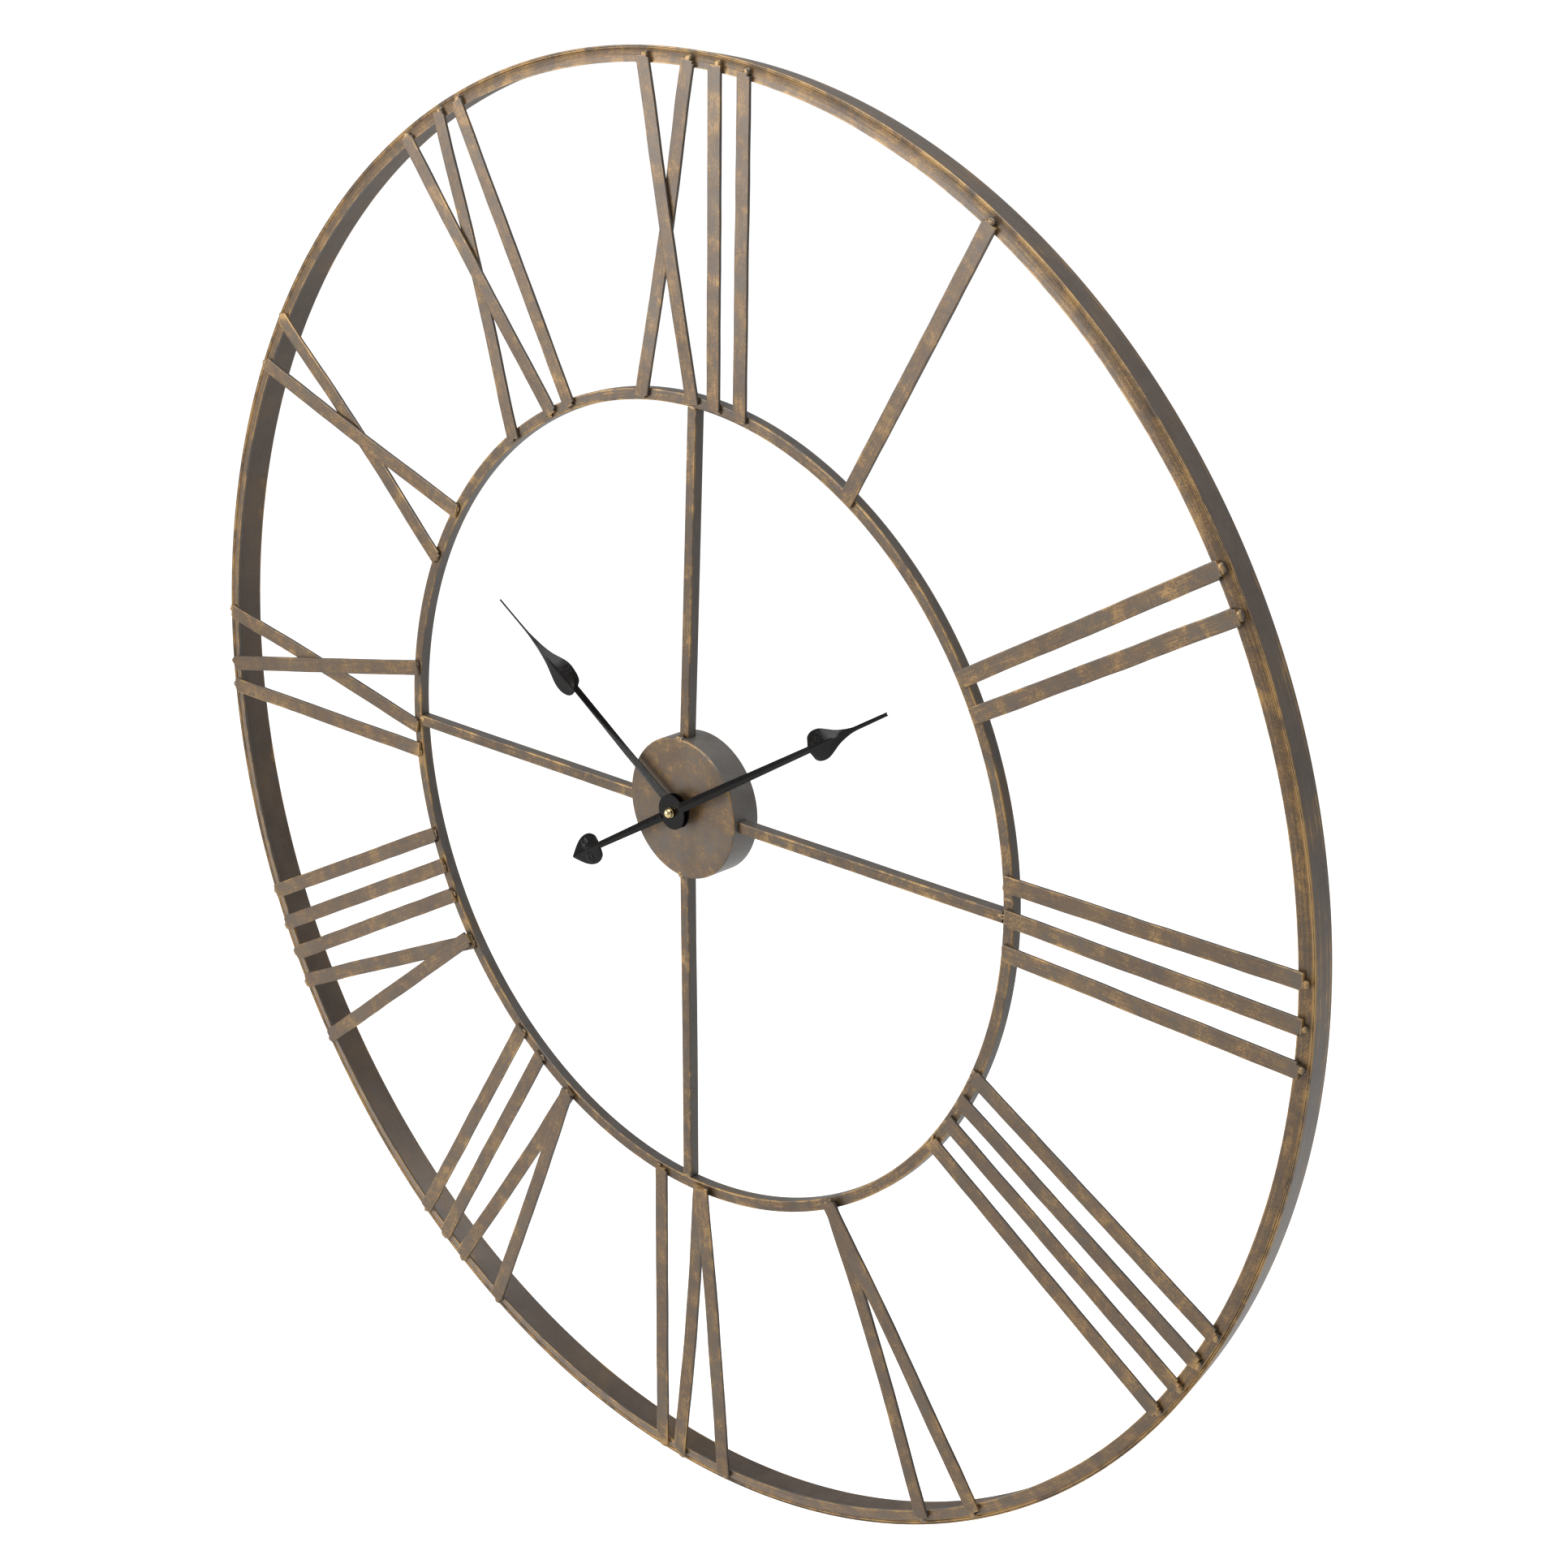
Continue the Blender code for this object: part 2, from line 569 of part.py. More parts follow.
hour_blade = blade("hour_blade", spade(0.1150, 0.1700, 0.2020, 0.0034, 0.0030, 0.0118, 0.0006), HOUR_Y - 0.0002, 0.0014)
hand("hour_hand", HOUR_Y, PIPE_R + GAP, HOUR_DEG, [hour_blade])

TAIL = [
    (0.0090, 0.0030), (0.0820, 0.0024), (0.0830, 0.0062), (0.0855, 0.0088), (0.0890, 0.0103),
    (0.0930, 0.0107), (0.0985, 0.0098), (0.1040, 0.0076), (0.1090, 0.0044), (0.1140, 0.0006),
]
minute_blade = blade("minute_blade", spade(0.1450, 0.1980, 0.2225, 0.0034, 0.0024, 0.0100, 0.0012), MINUTE_Y - 0.0002, 0.0014)
tail_blade = blade("tail_blade", TAIL, MINUTE_Y - 0.0002, 0.0012)
tail_blade.data.transform(Matrix.Rotation(math.pi, 4, "Y"))
hand("minute_hand", MINUTE_Y, ARBOR_R + GAP, MINUTE_DEG, [minute_blade, tail_blade])

# brass cap nut on the threaded end of the minute arbor
CAP_FRONT_Y = -0.0205
CAP_BACK_Y = MINUTE_Y - DISC_T - GAP
cap = turned("minute_nut", [
    (0.0, CAP_FRONT_Y), (0.0012, CAP_FRONT_Y + 0.0002), (0.0022, CAP_FRONT_Y + 0.0009),
    (0.0027, CAP_FRONT_Y + 0.0018), (0.0029, CAP_BACK_Y - 0.0003), (0.0026, CAP_BACK_Y),
    (ARBOR_R + GAP, CAP_BACK_Y), (ARBOR_R + GAP, ARBOR_TIP_Y - GAP), (0.0, ARBOR_TIP_Y - GAP),
], 28, False)
settle(cap, "minute_nut", BRASS, True)
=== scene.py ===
import math
import random

import bmesh
import bpy
import numpy as np
from mathutils import Matrix, Vector, noise


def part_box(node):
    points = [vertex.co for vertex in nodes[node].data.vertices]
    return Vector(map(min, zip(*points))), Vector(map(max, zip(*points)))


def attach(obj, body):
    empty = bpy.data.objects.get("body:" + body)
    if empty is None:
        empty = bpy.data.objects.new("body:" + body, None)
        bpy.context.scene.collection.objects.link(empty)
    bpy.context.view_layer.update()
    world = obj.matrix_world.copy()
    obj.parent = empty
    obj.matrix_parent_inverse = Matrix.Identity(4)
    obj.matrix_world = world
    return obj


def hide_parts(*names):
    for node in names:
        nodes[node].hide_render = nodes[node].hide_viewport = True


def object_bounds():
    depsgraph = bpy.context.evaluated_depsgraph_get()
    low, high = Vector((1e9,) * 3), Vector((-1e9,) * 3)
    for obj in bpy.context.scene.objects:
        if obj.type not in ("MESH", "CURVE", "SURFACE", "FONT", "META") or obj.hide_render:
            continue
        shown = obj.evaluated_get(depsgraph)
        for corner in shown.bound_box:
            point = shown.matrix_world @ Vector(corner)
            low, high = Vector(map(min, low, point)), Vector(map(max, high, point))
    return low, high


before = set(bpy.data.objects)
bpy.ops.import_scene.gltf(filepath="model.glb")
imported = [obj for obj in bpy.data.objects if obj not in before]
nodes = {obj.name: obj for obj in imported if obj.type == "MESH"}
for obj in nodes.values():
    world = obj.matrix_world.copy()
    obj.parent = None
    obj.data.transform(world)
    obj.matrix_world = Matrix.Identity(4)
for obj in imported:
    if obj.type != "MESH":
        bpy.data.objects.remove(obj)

cad_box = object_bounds()
dice = random.Random(11)

# ---------------------------------------------------------------- camera and light
CAMERA_AT = (1.35836, -1.31598, 0.70796)
CAMERA_RIGHT = (0.72145, 0.69244, -0.00683)
CAMERA_UP = (-0.19847, 0.21621, 0.95596)
LENS = 69.73        # millimetres
SENSOR = 36.0       # millimetres
SHIFT_Y = -0.1037
SKY_LIGHT = 0.34    # strength of the world where it lights the object
SKY_SEEN = 1.05     # strength of the world where the camera sees it: plain white

right, up = Vector(CAMERA_RIGHT).normalized(), Vector(CAMERA_UP)
back = right.cross(up).normalized()
up = back.cross(right)
camera_data = bpy.data.cameras.new("camera")
camera_data.lens = LENS
camera_data.sensor_width = SENSOR
camera_data.shift_y = SHIFT_Y
camera = bpy.data.objects.new("camera", camera_data)
turn = Matrix((right, up, back)).transposed().to_4x4()
camera.matrix_world = Matrix.Translation(CAMERA_AT) @ turn
bpy.context.scene.collection.objects.link(camera)
bpy.context.scene.camera = camera
bpy.context.scene.view_settings.view_transform = "Standard"

world = bpy.data.worlds.new("studio")
bpy.context.scene.world = world
world.use_nodes = True
sky = world.node_tree.nodes["Background"]
sky.inputs["Color"].default_value = (1.0, 1.0, 1.0, 1.0)
path = world.node_tree.nodes.new("ShaderNodeLightPath")
level = world.node_tree.nodes.new("ShaderNodeMapRange")
level.inputs["To Min"].default_value = SKY_LIGHT
level.inputs["To Max"].default_value = SKY_SEEN
world.node_tree.links.new(path.outputs["Is Camera Ray"], level.inputs["Value"])
world.node_tree.links.new(level.outputs["Result"], sky.inputs["Strength"])


def softbox(name, at, toward, size, power):
    """A rectangular area light; size is its width and height, power is in watts."""
    data = bpy.data.lights.new(name, "AREA")
    data.shape = "RECTANGLE"
    data.size, data.size_y = size
    data.energy = power
    lamp = bpy.data.objects.new(name, data)
    lamp.location = at
    lamp.rotation_mode = "QUATERNION"
    lamp.rotation_quaternion = (Vector(toward) - Vector(at)).to_track_quat("-Z", "Y")
    bpy.context.scene.collection.objects.link(lamp)


softbox("key", at=(-1.45, -2.15, 0.52), toward=(0.0, 0.0, 0.30), size=(2.0, 1.5), power=43.0)
softbox("overhead", at=(0.3, -0.3, 2.6), toward=(0.0, 0.0, 0.2), size=(2.2, 1.6), power=46.0)


# ---------------------------------------------------------------- shader helpers
class Shade:
    """A material built from nodes, with short calls for the nodes that repeat."""

    def __init__(self, name):
        self.mat = bpy.data.materials.new(name)
        self.mat.use_nodes = True
        self.tree = self.mat.node_tree
        self.bsdf = self.tree.nodes["Principled BSDF"]
        self.coord = self.tree.nodes.new("ShaderNodeTexCoord")

    def put(self, value, socket):
        """Link a socket, or set a plain number or colour."""
        if isinstance(value, bpy.types.NodeSocket):
            self.tree.links.new(value, socket)
        elif isinstance(value, tuple) and len(value) == 3 and socket.type == "RGBA":
            socket.default_value = (*value, 1.0)
        else:
            socket.default_value = value

    def math(self, kind, a, b):
        node = self.tree.nodes.new("ShaderNodeMath")
        node.operation = kind
        self.put(a, node.inputs[0])
        self.put(b, node.inputs[1])
        return node.outputs[0]

    def add(self, a, b):
        return self.math("ADD", a, b)

    def times(self, a, b):
        return self.math("MULTIPLY", a, b)

    def swing(self, value, amount):
        """A noise moved to swing about zero, times amount."""
        return self.times(self.math("SUBTRACT", value, 0.5), amount)

    def noise(self, where, scale, detail=3.0, rough=0.55, stretch=(1.0, 1.0, 1.0), distort=0.0):
        lay = self.tree.nodes.new("ShaderNodeMapping")
        lay.inputs["Scale"].default_value = stretch
        self.put(where, lay.inputs["Vector"])
        node = self.tree.nodes.new("ShaderNodeTexNoise")
        self.put(lay.outputs[0], node.inputs["Vector"])
        node.inputs["Scale"].default_value = scale
        node.inputs["Detail"].default_value = detail
        node.inputs["Roughness"].default_value = rough
        node.inputs["Distortion"].default_value = distort
        return node.outputs["Fac"]

    def band(self, value, low, high, to_low=0.0, to_high=1.0):
        """A smooth step: to_low up to low, to_high from high on."""
        node = self.tree.nodes.new("ShaderNodeMapRange")
        node.interpolation_type = "SMOOTHSTEP"
        for key, x in (("From Min", low), ("From Max", high), ("To Min", to_low), ("To Max", to_high)):
            node.inputs[key].default_value = x
        self.put(value, node.inputs["Value"])
        return node.outputs["Result"]

    def mix(self, amount, a, b, kind="MIX"):
        node = self.tree.nodes.new("ShaderNodeMix")
        node.data_type = "RGBA"
        node.blend_type = kind
        self.put(amount, node.inputs["Factor"])
        self.put(a, node.inputs["A"])
        self.put(b, node.inputs["B"])
        return node.outputs["Result"]

    def attribute(self, name):
        node = self.tree.nodes.new("ShaderNodeAttribute")
        node.attribute_name = name
        return node.outputs["Fac"]

    def facing_front(self):
        """1 on faces that look to the front of the clock, 0 on the sides and the back."""
        split = self.tree.nodes.new("ShaderNodeSeparateXYZ")
        self.put(self.coord.outputs["Normal"], split.inputs[0])
        return self.band(self.times(split.outputs["Y"], -1.0), 0.35, 0.85)

    def bump(self, height, strength, distance):
        node = self.tree.nodes.new("ShaderNodeBump")
        node.inputs["Strength"].default_value = strength
        node.inputs["Distance"].default_value = distance
        self.put(height, node.inputs["Height"])
        self.put(node.outputs[0], self.bsdf.inputs["Normal"])

    def finish(self, **sockets):
        for key, value in sockets.items():
            self.put(value, self.bsdf.inputs[key.replace("_", " ")])
        return self.mat


GOLD = (0.49, 0.295, 0.105)
SOOT = (0.030, 0.022, 0.017)
PIT_SHADE = (0.50, 0.46, 0.42)
WHITE = (1.0, 1.0, 1.0)
CLOUD, PATCH, GRAIN = 17.0, 75.0, 1100.0    # noise scales: wide drifts, blotches, fine tooth


def patina(name, dark=(0.064, 0.042, 0.027), cool=(0.082, 0.067, 0.049), bronze=(0.182, 0.103, 0.039),
           brush=(40.0, 1500.0), cover=0.0, wear=1.0, side=(0.16, 0.15, 0.14)):
    """Blackened iron rubbed with bronze wax: dark in the recesses, gold where the edges are worn.

    brush is how dense the strokes are along and across a piece, or None for sheet brushed both ways.
    cover adds wax, wear scales the gold on the edges, side is the tone of faces that look sideways.
    """
    s = Shade(name)
    obj = s.coord.outputs["Object"]
    cloud = s.noise(obj, CLOUD, 4.0, 0.6, distort=0.4)
    patch = s.noise(obj, PATCH, 4.0, 0.65, distort=0.3)
    grain = s.noise(obj, GRAIN, 2.0, 0.6)
    if brush:
        strokes = s.noise(s.coord.outputs["UV"], 1.0, 3.0, 0.6, stretch=(*brush, 1.0), distort=0.3)
    else:
        swirl = s.noise(obj, 1.0, 3.0, 0.6, stretch=(130.0, 130.0, 820.0), distort=1.4)
        cross = s.noise(obj, 1.0, 3.0, 0.6, stretch=(760.0, 130.0, 150.0), distort=1.2)
        strokes = s.times(s.add(swirl, cross), 0.5)
    facing = s.facing_front()

    # wax on the faces that look to the front
    plain = s.mix(s.band(cloud, 0.42, 0.60), dark, cool)
    film = s.add(s.times(patch, 0.9), s.times(strokes, 0.8))
    film = s.add(film, s.times(grain, 0.65))
    rub = s.band(film, 0.96 - cover, 1.40 - cover, 0.22, 1.0)
    front_tone = s.mix(rub, plain, bronze)

    # less wax and a cooler tone on the sides
    side_film = s.band(s.add(cloud, s.times(strokes, 0.6)), 0.74, 1.02, 0.0, 0.55)
    side_tone = s.mix(side_film, s.mix(0.55, plain, side), bronze)
    colour = s.mix(facing, side_tone, front_tone)

    # gold in streaks and along the worn edges
    streak = s.band(s.add(film, s.times(cloud, 0.25)), 1.32 - cover, 1.62 - cover, 0.0, 0.60)
    colour = s.mix(s.times(streak, facing), colour, GOLD)
    ragged = s.add(s.swing(patch, 1.7), s.swing(cloud, 2.2))
    worn = s.band(s.add(s.attribute("edge"), ragged), 0.45, 1.10, 0.0, 0.85 * wear)
    colour = s.mix(worn, colour, GOLD)

    # dark pits, and soot beside the welds
    pits = s.band(grain, 0.26, 0.46, 0.45, 1.0)
    colour = s.mix(1.0, colour, s.mix(pits, PIT_SHADE, WHITE), "MULTIPLY")
    spread = s.add(s.attribute("burn"), s.swing(patch, 0.9))
    colour = s.mix(s.band(spread, 0.35, 1.05, 0.0, 0.70), colour, SOOT)

    roughness = s.band(s.add(grain, s.times(strokes, 0.6)), 0.5, 1.1, 0.34, 0.52)
    metal = s.band(s.add(rub, worn), 0.0, 1.2, 0.10, 0.55)
    height = s.add(s.times(strokes, 0.6), s.add(grain, s.times(patch, 1.5)))
    s.bump(height, strength=0.30, distance=0.0003)
    return s.finish(Base_Color=colour, Metallic=metal, Roughness=roughness,
                    Coat_Weight=0.55, Coat_Roughness=0.30)


def simple(name, low, high, scale, metallic, roughness, bump=0.2, **more):
    """Two close tones in a fine noise, with matching roughness and bump."""
    s = Shade(name)
    obj = s.coord.outputs["Object"]
    fine = s.noise(obj, scale)
    wide = s.noise(obj, scale * 0.08, 2.0)
    tone = s.band(s.add(fine, wide), 0.7, 1.3)
    s.bump(fine, bump, 0.0002)
    return s.finish(Base_Color=s.mix(tone, low, high), Metallic=metallic,
                    Roughness=s.band(fine, 0.3, 0.7, roughness - 0.06, roughness + 0.08), **more)


IRON = patina("bronzed_iron_frame", bronze=(0.150, 0.085, 0.032), dark=(0.052, 0.034, 0.022),
              brush=(45.0, 1200.0))
BAND = patina("bronzed_iron_band", brush=(18.0, 700.0), side=(0.150, 0.112, 0.086))
FLANGE = patina("bronzed_iron_flange", bronze=(0.235, 0.138, 0.060), dark=(0.078, 0.054, 0.038),
                brush=(30.0, 900.0), cover=0.02)
STRIPS = patina("bronzed_iron_strips", brush=(38.0, 1700.0))
HUB = patina("bronzed_iron_hub", brush=None, side=(0.235, 0.232, 0.225), cool=(0.096, 0.084, 0.070),
             cover=-0.03, wear=0.8)
WELD = patina("bronzed_iron_weld", bronze=(0.28, 0.185, 0.095), brush=(300.0, 600.0), cover=0.15, wear=0.8)
BLACK = simple("black_gloss_hands", (0.0030, 0.0024, 0.0022), (0.0070, 0.0056, 0.0050), 600.0, 0.0, 0.15,
               bump=0.05, Specular_IOR_Level=0.16)
BRASS = simple("polished_brass", (0.72, 0.55, 0.24), (0.86, 0.70, 0.36), 500.0, 1.0, 0.16, 0.06)
PLASTIC = simple("moulded_black_plastic", (0.012, 0.012, 0.013), (0.024, 0.024, 0.025), 2500.0, 0.0, 0.46,
                 bump=0.25)
ACETAL = simple("white_acetal", (0.66, 0.66, 0.62), (0.78, 0.78, 0.75), 1200.0, 0.0, 0.40)
STEEL = simple("plain_steel", (0.33, 0.33, 0.34), (0.46, 0.46, 0.47), 900.0, 1.0, 0.30)
COPPER = simple("copper_winding", (0.50, 0.22, 0.10), (0.66, 0.32, 0.16), 1500.0, 1.0, 0.32)
CELL = simple("battery_sleeve", (0.04, 0.10, 0.17), (0.07, 0.15, 0.23), 900.0, 0.2, 0.28, 0.05)

# the floor glows to the camera only, so that it stays as white as the world behind it
FLOOR_GLOW = 0.75
floor_shade = Shade("pale_floor")
floor_tone = floor_shade.noise(floor_shade.coord.outputs["Object"], 3.0)
pale = floor_shade.mix(floor_tone, (0.93, 0.93, 0.93), (0.96, 0.96, 0.96))
seen = floor_shade.tree.nodes.new("ShaderNodeLightPath").outputs["Is Camera Ray"]
glow = floor_shade.times(seen, FLOOR_GLOW)
PALE = floor_shade.finish(Base_Color=pale, Roughness=0.9, Emission_Color=WHITE, Emission_Strength=glow)

# ---------------------------------------------------------------- mesh helpers
WEAR_MARGIN = 0.0007    # width of the band beside a corner over which its gold wear fades
SHOULDER = 0.25         # share of a corner's wear at the start of that band
CAP_SKEW = 0.37         # leans the brush strokes on an end cap, so that they don't line up with the sides


def place(name, mesh, mat, body, stands_for=(), sharp_from=40.0):
    """Put a finished mesh into the scene, riding on a body; edges over sharp_from degrees stay sharp."""
    mesh.materials.clear()
    mesh.materials.append(mat)
    mesh.shade_smooth()
    mesh.set_sharp_from_angle(angle=math.radians(sharp_from))
    obj = bpy.data.objects.new(name, mesh)
    bpy.context.scene.collection.objects.link(obj)
    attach(obj, body)
    if stands_for:
        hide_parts(*stands_for)


def blank(rows, cols):
    """Empty arrays for a grid of points, its edge wear and its burns."""
    return np.zeros((rows, cols, 3)), np.zeros((rows, cols)), np.zeros((rows, cols))


def skin(name, grid, u, v, edge, burn=None, closed=False):
    """Closed mesh over rows of points: each row is a loop, rows are joined, and the ends are capped."""
    rows, cols = grid.shape[:2]
    faces, uvs = [], []
    for i in range(rows if closed else rows - 1):
        k = (i + 1) % rows
        for j in range(cols):
            n = (j + 1) % cols
            faces.append((i * cols + j, i * cols + n, k * cols + n, k * cols + j))
            uvs += [(u[i], v[j]), (u[i], v[j + 1]), (u[i + 1], v[j + 1]), (u[i + 1], v[j])]
    if not closed:
        for i in (0, rows - 1):
            faces.append(tuple(i * cols + j for j in range(cols)))
            uvs += [(u[i] + CAP_SKEW * v[j], v[j]) for j in range(cols)]
    mesh = bpy.data.meshes.new(name)
    mesh.from_pydata([tuple(p) for p in grid.reshape(-1, 3)], [], faces)
    layer = mesh.uv_layers.new(name="lay")
    layer.data.foreach_set("uv", np.array(uvs, dtype=np.float32).ravel())
    for key, values in (("edge", edge), ("burn", burn)):
        if values is not None:
            layer = mesh.attributes.new(key, "FLOAT", "POINT")
            layer.data.foreach_set("value", values.astype(np.float32).ravel())
    bm = bmesh.new()
    bm.from_mesh(mesh)
    bmesh.ops.recalc_face_normals(bm, faces=bm.faces)
    bm.to_mesh(mesh)
    bm.free()
    return mesh


def from_bmesh(name, bm):
    mesh = bpy.data.meshes.new(name)
    bm.to_mesh(mesh)
    bm.free()
    return mesh


def rounded(corners, radius, steps=3):
    """Points of an outline with rounded corners, and the gold wear at each; a corner is (a, b, wear)."""
    points, near = [], []
    count = len(corners)
    for k, (a, b, wear) in enumerate(corners):
        here = Vector((a, b))
        before = (Vector(corners[k - 1][:2]) - here).normalized()
        after = (Vector(corners[(k + 1) % count][:2]) - here).normalized()
        points.append(here + before * (radius + WEAR_MARGIN))
        near.append(SHOULDER * wear)
        for n in range(steps + 1):
            t = n / steps
            points.append((here + before * radius).lerp(here, t).lerp(here.lerp(here + after * radius, t), t))
            near.append(wear)
        points.append(here + after * (radius + WEAR_MARGIN))
        near.append(SHOULDER * wear)
    return [(p.x, p.y) for p in points], near


def lengths(points):
    """Running length along a closed outline, one more value than points."""
    out = [0.0]
    for a, b in zip(points, points[1:] + points[:1]):
        out.append(out[-1] + math.dist(a, b))
    return out


def wander(where, scale, seed):
    """Smooth noise from about -1 to 1."""
    return noise.noise(Vector(where) * scale + Vector((seed * 7.31, seed * 3.17, seed * 1.71)))


def revolve(name, outline, near, steps, burns=(), shape=None):
    """Turn a closed outline of (radius, y) round the Y axis.

    near is the edge wear at each point of the outline, burns are (place, radius) of the scorched
    spots, and shape(place) gives a small (dr, dy) for a point.
    """
    v = lengths(outline)
    middle = sum(r for r, _ in outline) / len(outline)
    u = [middle * 2.0 * math.pi * i / steps for i in range(steps + 1)]
    grid, edge, burn = blank(steps, len(outline))
    for i in range(steps):
        angle = 2.0 * math.pi * i / steps
        sin, cos = math.sin(angle), math.cos(angle)
        for j, (r, y) in enumerate(outline):
            dr, dy = shape((r * sin, y, r * cos)) if shape else (0.0, 0.0)
            grid[i, j] = ((r + dr) * sin, y + dy, (r + dr) * cos)
            edge[i, j] = near[j]
    for spot, radius in burns:
        d = np.linalg.norm(grid - np.array(spot), axis=2)
        burn = np.maximum(burn, np.clip(1.15 - d / radius, 0.0, 1.0))
    return skin(name, grid, u, v, edge, burn, closed=True)


# ---------------------------------------------------------------- numeral strips
STRIP_EDGE = 0.00045        # corner radius of the section
STRIP_HALF_T = 0.0010       # half the thickness
STRIP_STEPS = 44
SLICE = 0.0015              # spacing at which a CAD strip's height is read
STEADY_END = 0.03           # the waves fade out over this length before each end
CHAMFER, CHAMFER_RUN = 0.0004, 0.0006
NOTCH_STEP = 0.00015        # half the length over which a notch begins
END_BURN = 0.0030
END_WEAR = 0.012
WELDED_ENDS = []            # (numeral, end, place, direction outward)


def strip_axis(node):
    """Foot, direction, length, stations and middle height at them, and width of a CAD strip or spoke."""
    co = np.array([v.co for v in nodes[node].data.vertices])
    xz = co[:, [0, 2]]
    mid = (xz.max(0) + xz.min(0)) / 2.0
    spread = xz - xz.mean(0)
    way = np.linalg.svd(spread, full_matrices=False)[2][0]
    if mid @ way < 0.0:
        way = -way
    t = (xz - xz.mean(0)) @ way
    start, end = t.min(), t.max()
    station = np.round((t - start) / SLICE).astype(int)
    along = np.array(sorted({int(k) for k in station}))
    level = np.array([co[station == k, 1].mean() for k in along])
    width = np.abs(spread @ np.array([way[1], -way[0]])).max() * 2.0
    return xz.mean(0) + way * start, way, end - start, along * SLICE, level, width


def make_strip(node):
    """A strip with notched, chamfered ends, slightly wavy edges and uneven wear."""
    foot, way, length, along, level, width = strip_axis(node)
    seed = dice.random() * 50.0
    notches = []
    for end, chance in (("foot", 0.35), ("tip", 0.55)):
        for side in (-1.0, 1.0):
            deep = dice.uniform(0.0010, 0.0022) if dice.random() < chance else 0.0
            notches.append((end, side, deep, dice.uniform(0.0012, 0.0026)))
    stations = set(np.linspace(0.0, length, STRIP_STEPS))
    for end, _, _, run in notches:
        for d in (0.0, run - NOTCH_STEP, run + NOTCH_STEP, CHAMFER_RUN):
            stations.add(d if end == "foot" else length - d)
    stations = sorted(stations)
    half = width / 2.0
    gold = [dice.uniform(0.45, 1.0) for _ in range(2)]
    outline, near = rounded([(-half, -STRIP_HALF_T, gold[0]), (half, -STRIP_HALF_T, gold[1]),
                             (half, STRIP_HALF_T, 0.5), (-half, STRIP_HALF_T, 0.5)], STRIP_EDGE)
    side_way = np.array([way[1], -way[0]])
    grid, edge, burn = blank(len(stations), len(outline))
    for i, t in enumerate(stations):
        base = foot + way * t
        y_mid = float(np.interp(t, along, level))
        to_end = min(t, length - t)
        fade = min(1.0, to_end / STEADY_END)
        drift = 0.00028 * wander((t, seed, 0.0), 22.0, 2.0) * fade
        buckle = 0.00018 * wander((t, 0.0, seed), 45.0, 3.0) * fade
        chamfer = CHAMFER * max(0.0, 1.0 - to_end / CHAMFER_RUN)
        cut = {-1.0: chamfer, 1.0: chamfer}
        for end, side, deep, run in notches:
            inside = t < run if end == "foot" else t > length - run
            if inside:
                cut[side] = max(cut[side], deep)
        for j, (x, y) in enumerate(outline):
            side = 1.0 if x > 0.0 else -1.0
            swell = 0.00022 * wander((t, side, seed), 60.0, 4.0)
            limit = half - cut[side] + swell
            across = max(-limit, min(limit, x * (limit / half) if abs(x) > half * 0.75 else x)) + drift
            p = base + side_way * across
            grid[i, j] = (p[0], y_mid + y + (buckle if y < 0 else 0.0), p[1])
            edge[i, j] = near[j] * (0.75 + 0.25 * wander((t, side, seed), 30.0, 6.0))
            burn[i, j] = 0.45 * max(0.0, 1.0 - to_end / END_BURN) * dice.uniform(0.3, 1.0)
            edge[i, j] = max(edge[i, j], 0.55 - to_end / END_WEAR)
    edge[[0, -1], :] = 0.9
    name = "strip_" + node.removeprefix("numeral_")
    mesh = skin(name, grid, stations + [0.0], lengths(outline), edge, burn)
    place(name, mesh, STRIPS, "frame", [node], 50.0)
    for end, t in (("foot", 0.0), ("tip", length)):
        p = foot + way * t
        y = float(np.interp(t, along, level))
        WELDED_ENDS.append((node.split("_")[1], end, Vector((p[0], y, p[1])), Vector((way[0], 0.0, way[1]))))


for node in sorted(n for n in nodes if n.startswith("numeral_")):
    make_strip(node)


# ---------------------------------------------------------------- weld beads
def bead(bm, layer, at, along, size, seed, pit=0.0):
    """A flat run of weld: a subdivided sphere, squared and dented by noise, with a pinhole if asked.

    size is half its extent along, across and through the metal.
    """
    made = bmesh.ops.create_icosphere(bm, subdivisions=3, radius=1.0)
    across = along.cross(Vector((0.0, 1.0, 0.0))).normalized()
    for vert in made["verts"]:
        p = vert.co.copy()
        lump = 1.0 + 0.22 * noise.noise(p * 1.2 + Vector((seed, 0.0, 0.0)))
        lump += 0.10 * noise.noise(p * 3.0 + Vector((0.0, seed, 0.0)))
        squared = 1.0 / max(abs(p.x) ** 3 + abs(p.y) ** 3 + abs(p.z) ** 3, 1e-6) ** (1.0 / 3.0)
        p *= lump * squared
        if pit and p.y < -0.3:
            p.y += pit * max(0.0, 1.0 - math.hypot(p.x, p.z) / 0.45)
        vert.co = at + along * (p.x * size[0]) + across * (p.z * size[1]) + Vector((0.0, p.y * size[2], 0.0))
        vert[layer] = 0.25 + 0.45 * max(0.0, -p.y) * lump


